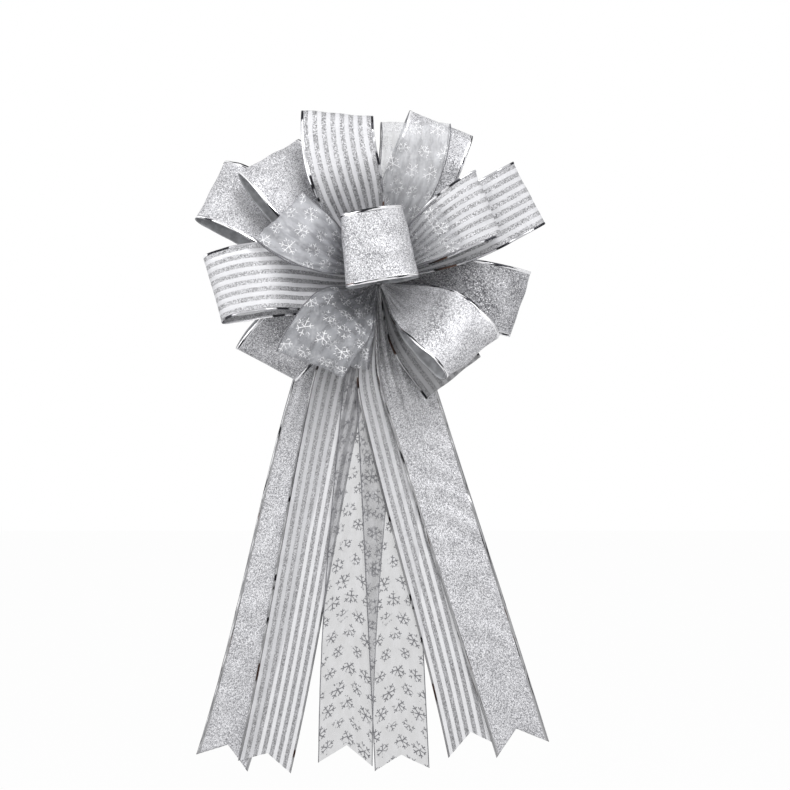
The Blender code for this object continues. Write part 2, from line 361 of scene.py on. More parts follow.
@dataclass(frozen=True)
class CentreLoop(Band):
    """The loop that stands forward over the tie, with its width upright.

    front: distance of its tip in front of the back plane
    opening: widest space between its left and right legs, at half its height
    taper: share by which the lower edge opens wider than that and the upper edge less
    drop: how far its lower edge hangs below the neck's
    lean: degrees that its top leans to the left
    pleats: how deep its folds are, as a share of the usual depth
    """

    front: float = 0.138
    opening: float = 0.072
    taper: float = 0.08
    drop: float = 0.007
    lean: float = 9.0
    width: float = 0.077
    seed: int = 60
    pleats: float = 0.7

    def sheet(self) -> Sheet:
        """The centre loop's surface: a drop shape seen from above, rising as it fans out.

        Returns:
            The surface.
        """
        phi, q, place = round_trip(LOOP_ROWS, COLUMNS)
        start = CORE_LENGTH + CLEARANCE
        gather = 0.6 * (self.front - start)
        distance = (self.front - start) * q
        width = half_width(distance, self.width, gather)
        spread = (width - NECK_WIDTH / 2) / (self.width - NECK_WIDTH) * 2
        line = (start + distance)[:, None] * FORWARD
        line[:, 2] += width - NECK_WIDTH / 2 - self.drop * spread
        lean = math.radians(self.lean) * spread
        zero = np.zeros_like(lean)
        across = np.stack((-np.sin(lean), zero, np.cos(lean)), axis=1)
        normal = np.stack((-np.cos(lean), zero, -np.sin(lean)), axis=1)
        off = drop_shape(phi, q, self.opening)
        tapered = off[:, None] * (1.0 - self.taper * place[None, :] * smooth(q / 0.5)[:, None])
        stand = tapered[:, :, None] * normal[:, None, :]
        points = laid_out(line, stand, width[:, None] * place[None, :], across)
        along = arc_length(line + off[:, None] * normal)
        creases = Creases(self.seed, STOCKS[self.ribbon], self.width, gather, self.pleats)
        return creases.pressed(points, along, place, distance)


@dataclass(frozen=True)
class Streamer(Band):
    """A free hanging end of ribbon with a swallow-tail cut.

    azimuth: degrees from +X of the line from the tie to the foot
    trim: how much shorter than the longest streamer it is cut
    layer: place in the stack of streamers, 0 at the back
    bow: how far the middle of its length stands aside of that line
    notch: depth of the swallow-tail
    spread: how far its upper part stands aside, where the gather pushes it out
    gather: length over which the band fans out
    folded: length over which its folds fade
    hanging_gap: how much further apart neighbouring streamers hang than at the tie
    """

    azimuth: float
    trim: float
    layer: int
    bow: float
    notch: float
    spread: float = 0.0
    width: float = 0.062
    gather: float = 0.13
    folded: float = 0.25
    hanging_gap: float = 0.0018
    seed: int = 1

    def sheet(self) -> Sheet:
        """The streamer's fine surface with its folds.

        Its depth is a function of the distance from the tie alone, so that it swings
        between its neighbours; every column ends on the swallow-tail's line.

        Returns:
            The surface.
        """
        outward, sideways = directions(self.azimuth)
        place = np.linspace(-1.0, 1.0, COLUMNS + 1)
        t = np.linspace(0.0, 1.0, STREAMER_ROWS + 1) ** 1.25
        end = STREAMER_LENGTH - self.trim - self.notch * (1.0 - np.abs(place))
        radius = NECK_START + t[:, None] * (end[None, :] - NECK_START)
        distance = radius.mean(axis=1) - NECK_START
        width = half_width(distance, self.width, self.gather)
        aside = self.bow * np.sin(math.pi * t) * t
        aside += self.spread * smooth(t / 0.2) * (1.0 - smooth((t - 0.15) / 0.85))
        offset = width[:, None] * place[None, :] + aside[:, None]
        flat = radius[:, :, None] * outward + offset[:, :, None] * sideways
        reached = np.linalg.norm(flat, axis=2)
        neck = CORE_BACK_MARGIN + STREAMER_PITCH * (self.layer + 0.5)
        depth = neck + self.hanging_gap * self.layer * smooth((reached - NECK_START) / self.gather)
        points = flat + depth[:, :, None] * FORWARD
        creases = Creases(self.seed, STOCKS[self.ribbon], self.width, self.folded)
        return creases.pressed(points, distance, place, distance)


GLITTER, STRIPE, SNOWFLAKE = Ribbon.GLITTER, Ribbon.STRIPE, Ribbon.SNOWFLAKE


def loop(place: str, ribbon: Ribbon, *sizes: float, seed: int, pleats: float = 1.0) -> Loop:
    """A loop by its place in the head."""
    kind = f"{ribbon.value}_{place}"
    return Loop(f"loop_{kind}", kind, ribbon, *sizes, seed=seed, pleats=pleats)


# Azimuth, reach, layer, tip depth, opening, roll, bend and gather
LOOPS = (
    loop("far_left", GLITTER, 152, 0.213, 0, 0.030, 0.034, 17, 5, seed=11),
    loop("top_right", GLITTER, 68, 0.190, 0, 0.026, 0.032, 8, 2, seed=12),
    loop("right", GLITTER, -10, 0.163, 0, 0.028, 0.030, 7, -7, seed=44),
    loop("upper_left", GLITTER, 132.5, 0.178, 1, 0.064, 0.034, 16, -10, 0.13, seed=14),
    loop("right_back", STRIPE, 29, 0.190, 1, 0.061, 0.020, 6, -1, 0.14, seed=15),
    loop("lower_right", STRIPE, -53, 0.139, 1, 0.050, 0.026, 0, 0, seed=16),
    loop("lower_left", GLITTER, 218, 0.156, 1, 0.052, 0.030, -12, 22, seed=17),
    loop("top_right", SNOWFLAKE, 76, 0.172, 2, 0.073, 0.020, 6, 14, 0.18, seed=18, pleats=1.25),
    loop("left", STRIPE, 186, 0.176, 2, 0.106, 0.028, 14, 12, 0.11, seed=19),
    loop("top", STRIPE, 104, 0.176, 3, 0.104, 0.026, 5, -18, 0.14, seed=20),
    loop("right_front", STRIPE, 33, 0.143, 3, 0.085, 0.018, 5, -10, 0.16, seed=21, pleats=1.4),
    loop("lower_right", GLITTER, -42, 0.136, 3, 0.112, 0.034, -17, -9, 0.12, seed=22),
    loop("bottom", SNOWFLAKE, 246, 0.106, 3, 0.085, 0.018, 4, 14, 0.16, seed=23, pleats=1.7),
    loop("upper_left", SNOWFLAKE, 150, 0.119, 4, 0.120, 0.016, 4, -16, 0.18, seed=24, pleats=1.6),
    loop("right", SNOWFLAKE, 34, 0.094, 4, 0.099, 0.010, 4, -4, 0.20, seed=61, pleats=2.1),
    loop("lower_left", SNOWFLAKE, 234, 0.120, 4, 0.117, 0.022, -6, 14, seed=26),
)


def streamer(side: str, ribbon: Ribbon, *sizes: float, seed: int) -> Streamer:
    """A streamer by the side it hangs on."""
    kind = f"{ribbon.value}_{side}"
    return Streamer(f"streamer_{kind}", f"tail_{kind}", ribbon, *sizes, seed=seed)


# Azimuth, trim, layer, bow, notch and spread
STREAMERS = (
    streamer("left", GLITTER, -108.0, 0.0, 0, 0.0, 0.022, -0.028, seed=41),
    streamer("left", STRIPE, -103.2, 0.010, 1, 0.0, 0.016, -0.017, seed=42),
    streamer("left", SNOWFLAKE, -93.9, 0.028, 2, -0.010, 0.022, seed=43),
    streamer("right", SNOWFLAKE, -87.2, 0.024, 3, 0.0, 0.017, seed=44),
    streamer("right", STRIPE, -78.4, 0.034, 4, 0.0, 0.024, -0.018, seed=45),
    streamer("right", GLITTER, -72.9, 0.025, 5, 0.0, 0.025, -0.004, seed=46),
)


# Meshes


def link(name: str, data: bpy.types.ID) -> bpy.types.Object:
    """Puts an object in the scene.

    Args:
        name: its name.
        data: its data.

    Returns:
        The object, at the origin.
    """
    made = bpy.data.objects.new(name, data)
    bpy.context.scene.collection.objects.link(made)
    return made


def numbered(points: Array) -> Array:
    """The numbers of a grid's points, row by row."""
    return np.arange(points[..., 0].size).reshape(points.shape[:2])


def tube_faces(number: Array) -> Array:
    """Quads round a tube whose points are numbered by rows of rings."""
    after = np.roll(number, -1, axis=1)
    return np.stack((number[:-1], after[:-1], after[1:], number[1:]), axis=-1).reshape(-1, 4)


def grid_faces(number: Array) -> Array:
    """Quads of a grid of numbered points."""
    corners = number[:-1, :-1], number[1:, :-1], number[1:, 1:], number[:-1, 1:]
    return np.stack(corners, axis=-1).reshape(-1, 4)


def flat_measures(sheet: Sheet) -> Array:
    """Along, across and distance from the neck of each point of a sheet, one a line."""
    along, across = np.meshgrid(sheet.along, sheet.across, indexing="ij")
    return np.stack((along, across, along * 0.0 + sheet.out[:, None]), -1).reshape(-1, 3)


def make_mesh(name: str, points: Array, faces: Array, flat: Array, slots: Array) -> bpy.types.Object:
    """An object from points, quads, flat measures and material numbers.

    The UV map "ribbon" holds along and across, and "gather" the distance from the neck
    and across again.

    Args:
        name: the object's name.
        points: points, one a line.
        faces: quads, one a line.
        flat: along, across and distance from the neck of each point, in metres.
        slots: the material number of each face.

    Returns:
        The object, at the origin.
    """
    mesh = bpy.data.meshes.new(name)
    mesh.from_pydata(points.tolist(), [], faces.tolist())
    corners = flat[faces.reshape(-1)].astype(np.float32)
    for layer, pair in (("ribbon", [0, 1]), ("gather", [2, 1])):
        mesh.uv_layers.new(name=layer).data.foreach_set("uv", corners[:, pair].reshape(-1))
    mesh.polygons.foreach_set("material_index", slots.astype(np.int32))
    mesh.shade_smooth()
    mesh.update()
    return link(name, mesh)


def slab(name: str, sheet: Sheet, stock: Stock) -> bpy.types.Object:
    """A closed band of opaque ribbon, thicker along its wired edges.

    Points lie half the thickness off the sheet on either side. The thickness is the
    cloth's, plus a rounded bead over the hem. The good side and the rims have material
    0, the reverse material 1.

    Args:
        name: the object's name.
        sheet: the band's surface.
        stock: how the ribbon is made.

    Returns:
        The object.
    """
    cloth = sheet.across[-1] - stock.hem
    into = np.clip((np.abs(sheet.across) - cloth) / stock.hem, 0.0, 1.0)
    thickness = stock.sheet + (stock.bead - stock.sheet) * np.sin(math.pi * np.sqrt(into))
    half = thickness[None, :, None] / 2 * sheet.normals
    points = np.concatenate((sheet.points + half, sheet.points - half)).reshape(-1, 3)
    top = numbered(sheet.points)
    low = top + top.size
    front, back = grid_faces(top), grid_faces(low)[:, ::-1]
    rims = [
        np.stack((top[:-1, 0], low[:-1, 0], low[1:, 0], top[1:, 0]), 1),
        np.stack((top[:-1, -1], top[1:, -1], low[1:, -1], low[:-1, -1]), 1),
        np.stack((top[0, :-1], top[0, 1:], low[0, 1:], low[0, :-1]), 1),
        np.stack((top[-1, :-1], low[-1, :-1], low[-1, 1:], top[-1, 1:]), 1),
    ]
    faces = np.concatenate((front, back, *rims))
    slots = np.zeros(len(faces), int)
    slots[len(front) : 2 * len(front)] = 1
    return make_mesh(name, points, faces, np.tile(flat_measures(sheet), (2, 1)), slots)


def sheer_band(name: str, sheet: Sheet, stock: Stock) -> bpy.types.Object:
    """A band of sheer ribbon: one sheet with a closed, flattened bead along each edge.

    Each bead is an ellipse, hem wide and bead thick, carried along the edge.

    Args:
        name: the object's name.
        sheet: the band's surface.
        stock: how the ribbon is made.

    Returns:
        The object, cloth in material 0 and edges in material 1.
    """
    points = [sheet.points.reshape(-1, 3)]
    flat = [flat_measures(sheet)]
    faces = [grid_faces(numbered(sheet.points))]
    slots = [np.zeros(len(faces[0]), int)]
    turn = np.linspace(0.0, TURN, BEAD_SIDES, endpoint=False)
    for column, inward in ((0, 1), (-1, -2)):
        edge = sheet.points[:, column]
        across = unit(sheet.points[:, inward] - edge)
        normal = sheet.normals[:, column]
        wide = np.cos(turn)[None, :, None] * across[:, None, :] * stock.hem / 2
        thick = np.sin(turn)[None, :, None] * normal[:, None, :] * stock.bead / 2
        bead = edge[:, None, :] + (across * stock.hem / 2)[:, None, :] + wide + thick
        number = sum(map(len, points)) + numbered(bead)
        points.append(bead.reshape(-1, 3))
        quads = tube_faces(number)
        quads = quads if column == 0 else quads[:, ::-1]
        closing = [ring[[0, k, k + 1, k + 2]] for ring in number[[0, -1]] for k in (1, 3, 5)]
        faces.extend((quads, np.array(closing)))
        slots.append(np.ones(len(quads) + len(closing), int))
        across_it = np.full(len(edge), sheet.across[column])
        spot = np.stack((sheet.along, across_it, sheet.out), axis=-1)
        flat.append(np.repeat(spot, BEAD_SIDES, axis=0))
    return make_mesh(name, *(np.concatenate(parts) for parts in (points, faces, flat, slots)))


# Finishes


@dataclass(frozen=True)
class PaintedFoldShade:
    """Painted shade: dark lines along the folds that gathering leaves, fading out from the neck.

    reach: distance from the neck at which they are gone
    depth: how dark they are at the neck
    base: how dark the cloth between them is, as a share of depth
    """

    reach: float
    depth: float
    base: float


class Graph:
    """The nodes of a material or of the surroundings, with short calls for what they share."""

    def __init__(self, owner: bpy.types.Material | bpy.types.World) -> None:
        """Turns on the nodes of their owner."""
        owner.use_nodes = True
        self.owner, self.tree = owner, owner.node_tree

    def put(self, socket: Socket, value: object) -> None:
        """Links a socket to an output, or sets its value.

        Args:
            socket: the socket.
            value: the output or the value.
        """
        if isinstance(value, bpy.types.NodeSocket):
            self.tree.links.new(value, socket)
        else:
            socket.default_value = value

    def node(self, kind: str, inputs: dict[str | int, object], **settings: object) -> bpy.types.NodeOutputs:
        """Adds a node.

        Args:
            kind: the node's type name, less the "ShaderNode" that it starts with.
            inputs: values or links of its inputs, by their names or numbers.
            settings: its own properties.

        Returns:
            Its outputs.
        """
        made = self.tree.nodes.new(f"ShaderNode{kind}")
        for key, value in settings.items():
            setattr(made, key, value)
        for key, value in inputs.items():
            self.put(made.inputs[key], value)
        return made.outputs

    def math(self, operation: str, a: object, b: object = 0.0) -> Socket:
        """The result of a Math node on a and b."""
        return self.node("Math", {0: a, 1: b}, operation=operation)[0]

    def plus(self, a: object, b: object) -> Socket:
        """a + b."""
        return self.math("ADD", a, b)

    def minus(self, a: object, b: object) -> Socket:
        """a - b."""
        return self.math("SUBTRACT", a, b)

    def times(self, a: object, b: object) -> Socket:
        """a times b."""
        return self.math("MULTIPLY", a, b)

    def vector(self, operation: str, a: object, b: object = (0.0, 0.0, 0.0)) -> Socket:
        """The result of a Vector Math node on a and b."""
        return self.node("VectorMath", {0: a, 1: b}, operation=operation)[0]

    def shaded(self, colour: object, factor: object) -> Socket:
        """A colour or vector times a factor."""
        return self.node("VectorMath", {0: colour, "Scale": factor}, operation="SCALE")[0]

    def mix(self, factor: object, a: object, b: object) -> Socket:
        """A colour between a and b."""
        return self.node("Mix", {0: factor, 6: a, 7: b}, data_type="RGBA")[2]

    def between(self, factor: object, a: object, b: object) -> Socket:
        """A number between a and b."""
        return self.node("Mix", {0: factor, 2: a, 3: b}, data_type="FLOAT")[0]

    def step(self, value: object, low: float, high: float) -> Socket:
        """0 below low and 1 above high, by a smooth step; the other way round if low > high."""
        ends = (low, high, 0.0, 1.0) if low < high else (high, low, 1.0, 0.0)
        return self.node("MapRange", dict(enumerate((value, *ends))), interpolation_type="SMOOTHSTEP")[0]

    def parts(self, vector: object) -> bpy.types.NodeOutputs:
        """The three numbers of a vector or colour."""
        return self.node("SeparateXYZ", {0: vector})

    def measures(self, layer: str = "ribbon") -> tuple[Socket, Socket, Socket]:
        """The ribbon's flat measures in metres: both together, then one by one."""
        uv = self.node("UVMap", {}, uv_map=layer)[0]
        return uv, *self.parts(uv)[:2]

    def noise(self, at: object, scale: tuple[float, ...], detail: float = 2.0) -> Socket:
        """Soft noise from 0 to 1, in as many dimensions as it has scales."""
        inputs = {"Vector": self.vector("MULTIPLY", at, (*scale, 1.0)[:3]), "Scale": 1.0, "Detail": detail}
        return self.node("TexNoise", inputs, noise_dimensions=f"{len(scale)}D")[0]

    def flakes(self, uv: object, size: float) -> tuple[Socket, Socket]:
        """Glitter flakes: cells of one size, each with its own random number and tilt.

        Args:
            uv: flat measures in metres.
            size: size of a flake in metres.

        Returns:
            A random number for each flake, and its random colour for a tilt.
        """
        inputs = {"Vector": self.shaded(uv, 1 / size), "Scale": 1.0}
        colour = self.node("TexVoronoi", inputs, voronoi_dimensions="2D", feature="F1")["Color"]
        return self.parts(colour)[0], colour

    def glitter(self, uv: object, size: float, finer: float) -> tuple[Socket, Socket, Socket]:
        """Flakes of two sizes: the larger ones' number and colour, and the mean of both numbers."""
        (random, colour), (fine, _) = self.flakes(uv, size), self.flakes(uv, size * finer)
        return random, colour, self.plus(self.times(random, 0.5), self.times(fine, 0.5))

    def tilted(self, colour: object, strength: object) -> Socket:
        """The surface's normal, plus each flake's random colour less a half, times strength."""
        tilt = self.shaded(self.vector("SUBTRACT", colour, (0.5, 0.5, 0.5)), strength)
        return self.vector("NORMALIZE", self.vector("ADD", self.node("NewGeometry", {})["Normal"], tilt))

    def folded(self, colour: object, folds: PaintedFoldShade) -> Socket:
        """A colour with painted shade: darker along fold lines that run out of the neck and fade.

        Args:
            colour: the cloth's colour.
            folds: how dark the lines are.

        Returns:
            The colour, unchanged beyond the folds' reach.
        """
        uv, distance, _ = self.measures("gather")
        near = self.step(distance, folds.reach, 0.0)
        line = self.step(self.noise(uv, (9.0, 300.0), 1.5), 0.62, 0.36)
        spread = self.math("POWER", near, self.between(line, 2.2, 0.8))
        depth = self.between(line, folds.depth * folds.base, folds.depth)
        return self.shaded(colour, self.minus(1.0, self.times(spread, depth)))

    def foil(self, uv: object, start: float) -> Socket:
        """Mirror foil crinkled over a wire, its reflections painted: dark and bright streaks with a faint
        warm tint.

        Args:
            uv: flat measures in metres.
            start: level of the noise at which the dark streaks start; higher gives fewer.

        Returns:
            The foil's colour.
        """
        line = self.noise(uv, (11.0, 1500.0), 1.0)
        streak = self.noise(uv, (34.0, 620.0))
        tint = self.noise(uv, (13.0, 13.0))
        # Painted reflections: the bright and dark streaks stand for what the crinkled foil mirrors.
        silver = self.mix(self.step(line, 0.36, 0.50), grey(0.50, 0.52), grey(0.95, 0.97))
        deep = self.mix(self.step(tint, 0.58, 0.66), grey(0.030, 0.035), (0.17, 0.10, 0.08, 1.0))
        return self.mix(self.step(streak, start, start + 0.05), silver, deep)

    def seen(self) -> Socket:
        """Tells the rays that show the surroundings from those that only light the bow.

        Returns:
            1 for rays of the camera, of reflections and of what shows through, 0 for others.
        """
        path = self.node("LightPath", {})
        both = self.math("MAXIMUM", path["Is Glossy Ray"], path["Is Transmission Ray"])
        return self.math("MAXIMUM", both, path["Is Camera Ray"])


class MaterialGraph(Graph):
    """A new material's nodes."""

    def __init__(self, name: str) -> None:
        """Starts the material with its Principled shader."""
        super().__init__(bpy.data.materials.new(name))
        self.shader = self.tree.nodes["Principled BSDF"]

    def finish(self, **inputs: object) -> bpy.types.Material:
        """Sets the shader's sockets.

        Args:
            inputs: values or links of the sockets, by their names with _ for each space.

        Returns:
            The material.
        """
        for key, value in inputs.items():
            self.put(self.shader.inputs[key.replace("_", " ")], value)
        return self.owner


def grey(level: float, blue: float) -> Colour:
    """A grey with its own level of blue."""
    return (level, level, blue, 1.0)


def pale_grey(level: float) -> Colour:
    """A grey with the ribbons' faint cool tint."""
    return grey(level, min(1.0, level * 1.035))


def dimmed(colour: Colour, factor: float) -> Colour:
    """A colour times a factor, no part above 1."""
    return tuple(min(1.0, c * factor) for c in colour[:3]) + (1.0,)


@dataclass(frozen=True)
class GlitterFinish:
    """Silver glitter ribbon with a bright foil edge.

    dark, pale: the flakes' darkest and palest colours
    flake, hem, half: a flake's size, the foil edge's width, half the ribbon's
    foil, streaks: brightness of the edge, level at which its dark streaks start
    mottle: how much the brightness drifts over the cloth
    """

    name: str = "silver_glitter_ribbon"
    dark: Colour = (0.15, 0.15, 0.165, 1.0)
    pale: Colour = (0.93, 0.93, 0.96, 1.0)
    flake: float = 0.00082
    hem: float = 0.0034
    half: float = 0.0385
    # Painted shade along the gathered folds near the neck
    folds: PaintedFoldShade = PaintedFoldShade(0.075, 0.70, 0.40)
    foil: float = 1.0
    streaks: float = 0.53
    mottle: float = 0.20

    def material(self) -> bpy.types.Material:
        """Flakes of random brightness and tilt, a few painted near white as glints; foil with painted
        reflection streaks along the edge.

        Returns:
            The material.
        """
        g = MaterialGraph(self.name)
        uv, _, across = g.measures()
        random, colour, mixed = g.glitter(uv, self.flake, 0.5)
        cloud = g.noise(uv, (38.0, 38.0), 0.5)
        level = g.plus(mixed, g.times(g.minus(cloud, 0.5), self.mottle))
        body = g.mix(g.step(level, 0.14, 0.84), self.dark, self.pale)
        # A few random flakes are painted near white: painted glints.
        body = g.folded(g.mix(g.step(random, 0.92, 0.96), body, grey(0.95, 0.97)), self.folds)
        inner = self.half - self.hem
        edge = g.step(g.math("ABSOLUTE", across), inner - 0.0002, inner + 0.0002)
        return g.finish(
            Base_Color=g.mix(edge, body, g.shaded(g.foil(uv, self.streaks), self.foil)),
            Metallic=g.between(edge, 0.33, 1.0),
            Roughness=g.between(edge, g.between(random, 0.38, 0.58), 0.25),
            Normal=g.tilted(colour, g.between(edge, 0.42, 0.06)),
        )


@dataclass(frozen=True)
class ReverseFinish:
    """The plain matt reverse of the glitter ribbon."""

    name: str = "glitter_ribbon_reverse"
    colour: Colour = (0.34, 0.345, 0.36, 1.0)
    thread: float = 0.0007

    def material(self) -> bpy.types.Material:
        """A fine woven backing with a faint mottle.

        Returns:
            The material.
        """
        g = MaterialGraph(self.name)
        uv, along, across = g.measures()
        warp = g.math("SINE", g.times(across, TURN / self.thread))
        weft = g.math("SINE", g.times(along, TURN / self.thread))
        weave = g.times(warp, weft)
        level = g.plus(g.times(weave, 0.10), g.noise(uv, (120.0, 120.0), 4.0))
        woven = {"Strength": 0.25, "Distance": 0.0003, "Height": weave}
        return g.finish(
            Base_Color=g.mix(g.step(level, 0.2, 0.85), self.colour, dimmed(self.colour, 1.7)),
            Roughness=0.75,
            Normal=g.node("Bump", woven)[0],
        )


@dataclass(frozen=True)
class StripeFinish:
    """Sheer white ribbon with lengthwise stripes of silver glitter, brightness by material."""

    name: str = "silver_striped_ribbon"
    stripes: int = 8
    width: float = 0.077
    flake: float = 0.00095
    # Painted shade along the gathered folds near the neck
    folds: PaintedFoldShade = PaintedFoldShade(0.060, 0.45, 0.25)
    cloth: float = 0.96
    silver: float = 0.70
    thread: float = 0.0008

    def material(self) -> bpy.types.Material:
        """White sheer cloth; stripes half a pitch wide, of random bright and dark flakes.

        Returns:
            The material.
        """
        g = MaterialGraph(self.name)
        uv, along, across = g.measures()
        turned = g.math("FRACT", g.plus(g.math("DIVIDE", across, self.width / self.stripes), 20.0))
        stripe = g.step(g.math("ABSOLUTE", g.minus(turned, 0.5)), 0.31, 0.23)
        random, colour, mixed = g.glitter(uv, self.flake, 0.45)
        silver = g.mix(g.step(mixed, 0.10, 0.90), pale_grey(self.silver * 0.25), pale_grey(self.silver))
        grain = g.times(mixed, g.noise(uv, (60.0, 60.0), 3.0))
        cloth = g.mix(grain, pale_grey(self.cloth), pale_grey(self.cloth * 0.78))
        woven = {
            "Strength": 0.15,
            "Distance": 0.0002,
            "Height": g.math("SINE", g.times(along, TURN / self.thread)),
            "Normal": g.tilted(colour, g.between(stripe, 0.04, 0.55)),
        }
        return g.finish(
            Base_Color=g.folded(g.mix(stripe, cloth, silver), self.folds),
            Metallic=g.between(stripe, 0.0, 0.40),
            Roughness=g.between(stripe, 0.50, g.between(random, 0.30, 0.55)),
            Alpha=g.between(stripe, 0.80, 1.0),
            Normal=g.node("Bump", woven)[0],
        )


@dataclass(frozen=True)
class FoilEdgeFinish:
    """The foil-covered wired edge of the striped ribbon."""

    name: str = "foil_edge"
    level: float = 1.0
    streaks: float = 0.53

    def material(self) -> bpy.types.Material:
        """Foil with painted reflection streaks, its brightness times level.

        Returns:
            The material.
        """
        g = MaterialGraph(self.name)
        foil = g.foil(g.measures()[0], self.streaks)
        return g.finish(Base_Color=g.shaded(foil, self.level), Metallic=1.0, Roughness=0.25)


@dataclass(frozen=True)
class OrganzaFinish:
    """Sheer grey organza scattered with glitter snowflakes.

    sheer: how far the cloth hides what is behind it
    cell: distance between flakes
    arm, stroke: length of an arm, half the width of its line
    jitter: how far a flake strays, as a share of its cell
    smallest, growth: size of the smallest flake, and what the largest adds
    branch, twig: where an arm's side branches start and how long they are, as shares of it
    blur, tip_blur: widths over which a line's side and its end fade
    """

    name: str = "snowflake_organza"
    cloth: Colour = (0.70, 0.71, 0.75, 1.0)
    flake_white: Colour = (0.95, 0.95, 0.97, 1.0)
    sheer: float = 0.50
    cell: float = 0.0230
    arm: float = 0.0094
    stroke: float = 0.00050
    # Painted shade along the gathered folds near the neck
    folds: PaintedFoldShade = PaintedFoldShade(0.060, 0.58, 0.30)
    jitter: float = 0.14
    smallest: float = 0.80
    growth: float = 0.28
    branch: float = 0.56
    twig: float = 0.36
    blur: float = 0.0002
    tip_blur: float = 0.0004

    def line(self, g: Graph, off: object, reach: object, length: float) -> Socket:
        """Mask of a line: 1 within a stroke of its middle and short of its end."""
        side = g.step(off, self.stroke, self.stroke - self.blur)
        return g.times(side, g.step(reach, length, length - self.tip_blur))

    def strayed(self, g: Graph, place: object, random: object) -> Socket:
        """Distance in metres from a flake's middle, which strays from its cell's at random."""
        middle = g.plus(g.times(random, self.jitter), 0.5 - self.jitter / 2)
        return g.times(g.minus(g.math("FRACT", place), middle), self.cell)

    def snowflakes(self, g: Graph, along: object, across: object) -> Socket:
        """Mask of six-armed snowflakes, one in each cell of a staggered grid.

        Each cell's centre is moved and the flake turned and sized by random numbers of
        the cell. The angle is folded into a twelfth of a turn, which makes six equal
        arms, and each arm has a pair of side branches at 60 degrees.

        Args:
            g: the material's graph.
            along: distance along the ribbon.
            across: distance across it.

        Returns:
            1 on a flake, 0 off it.
        """
        p = g.plus(g.math("DIVIDE", along, self.cell), 50.0)
        row = g.math("FLOOR", p)
        shift = g.times(g.math("MODULO", row, 2.0), 0.5)
        r = g.plus(g.plus(g.math("DIVIDE", across, self.cell), 50.0), shift)
        key = g.node("CombineXYZ", {"X": row, "Y": g.math("FLOOR", r)})[0]
        random = g.node("TexWhiteNoise", {"Vector": key}, noise_dimensions="2D")
        stray = g.parts(random["Color"])
        size = g.plus(g.times(random["Value"], self.growth), self.smallest)
        x = g.math("DIVIDE", self.strayed(g, p, stray[0]), size)
        y = g.math("DIVIDE", self.strayed(g, r, stray[1]), size)
        radius = g.math("SQRT", g.plus(g.times(x, x), g.times(y, y)))
        angle = g.math("PINGPONG", g.plus(g.math("ARCTAN2", y, x), stray[2]), math.pi / 6)
        out, off = g.times(radius, g.math("COSINE", angle)), g.times(radius, g.math("SINE", angle))
        start = g.minus(out, self.branch * self.arm)
        aside = g.math("ABSOLUTE", g.minus(g.times(start, SIN_60), g.times(off, COS_60)))
        reach = g.plus(g.times(start, COS_60), g.times(off, SIN_60))
        twigs = self.line(g, aside, reach, self.twig * self.arm)
        arms = g.math("MAXIMUM", self.line(g, off, out, self.arm), twigs)
        return g.math("MAXIMUM", arms, g.step(radius, 0.0009, 0.0006))

    def material(self) -> bpy.types.Material:
        """Sheer cloth, with flakes that hide what is behind them.

        Returns:
            The material.
        """
        g = MaterialGraph(self.name)
        uv, along, across = g.measures()
        worn = g.step(g.noise(uv, (130.0, 130.0)), 0.34, 0.50)
        flake = g.times(self.snowflakes(g, along, across), worn)
        random, colour = g.flakes(uv, 0.0006)
        cloud = g.noise(uv, (45.0, 110.0), 4.0)
        cloth = g.mix(g.step(cloud, 0.34, 0.66), dimmed(self.cloth, 0.66), self.cloth)
        white = g.mix(g.step(random, 0.0, 0.5), dimmed(self.flake_white, 0.72), self.flake_white)
        wrinkled = {
            "Strength": 0.85,
            "Distance": 0.0022,
            "Height": g.noise(uv, (60.0, 130.0)),
            "Normal": g.tilted(colour, g.between(flake, 0.03, 0.30)),
        }
        clear = g.between(cloud, self.sheer - 0.10, self.sheer + 0.10)
        return g.finish(
            Base_Color=g.folded(g.mix(flake, cloth, white), self.folds),
            Roughness=g.between(flake, 0.33, 0.35),
            Alpha=g.between(flake, clear, 0.97),
            Normal=g.node("Bump", wrinkled)[0],
        )


@dataclass(frozen=True)
class SatinEdgeFinish:
    """The thin dark woven edge of the organza."""

    name: str = "organza_edge"
    twist: float = 0.0016

    def material(self) -> bpy.types.Material:
        """Dark grey thread, twisted along the edge.

        Returns:
            The material.
        """
        g = MaterialGraph(self.name)
        uv, along, _ = g.measures()
        twist = g.step(g.math("SINE", g.times(along, TURN / self.twist)), -0.6, 0.6)
        cloud = g.noise(uv, (150.0, 150.0))
        thread = g.mix(g.times(twist, cloud), grey(0.10, 0.11), grey(0.42, 0.45))
        return g.finish(Base_Color=thread, Roughness=0.4, Metallic=0.3)


@dataclass(frozen=True)
class GatherFinish:
    """The gathered folds of the tie's core."""

    name: str = "gathered_folds"

    def material(self) -> bpy.types.Material:
        """Painted shade, near black, in the hollows of the folds, with pale painted glints of all the
        ribbons' edges on the ridges.

        Returns:
            The material.
        """
        g = MaterialGraph(self.name)
        at = g.node("TexCoord", {})["Object"]
        folds = g.noise(at, (900.0, 90.0, 900.0))
        # Painted shade: the hollows between the folds are near black.
        cloth = g.mix(g.step(folds, 0.42, 0.66), grey(0.035, 0.04), grey(0.45, 0.47))
        return g.finish(Base_Color=cloth, Roughness=0.5, Metallic=0.2)


@dataclass(frozen=True)
class WireFinish:
    """Bright plain tie wire."""

    name: str = "tie_wire"

    def material(self) -> bpy.types.Material:
        """Drawn steel with fine lengthwise variation.

        Returns:
            The material.
        """
        g = MaterialGraph(self.name)
        at = g.node("TexCoord", {})["Object"]
        drawn = g.noise(at, (1200.0, 1200.0, 300.0))
        return g.finish(
            Base_Color=g.mix(drawn, grey(0.45, 0.47), grey(0.75, 0.77)),
            Roughness=g.between(drawn, 0.25, 0.40),
            Metallic=1.0,
        )


# Sub-assemblies


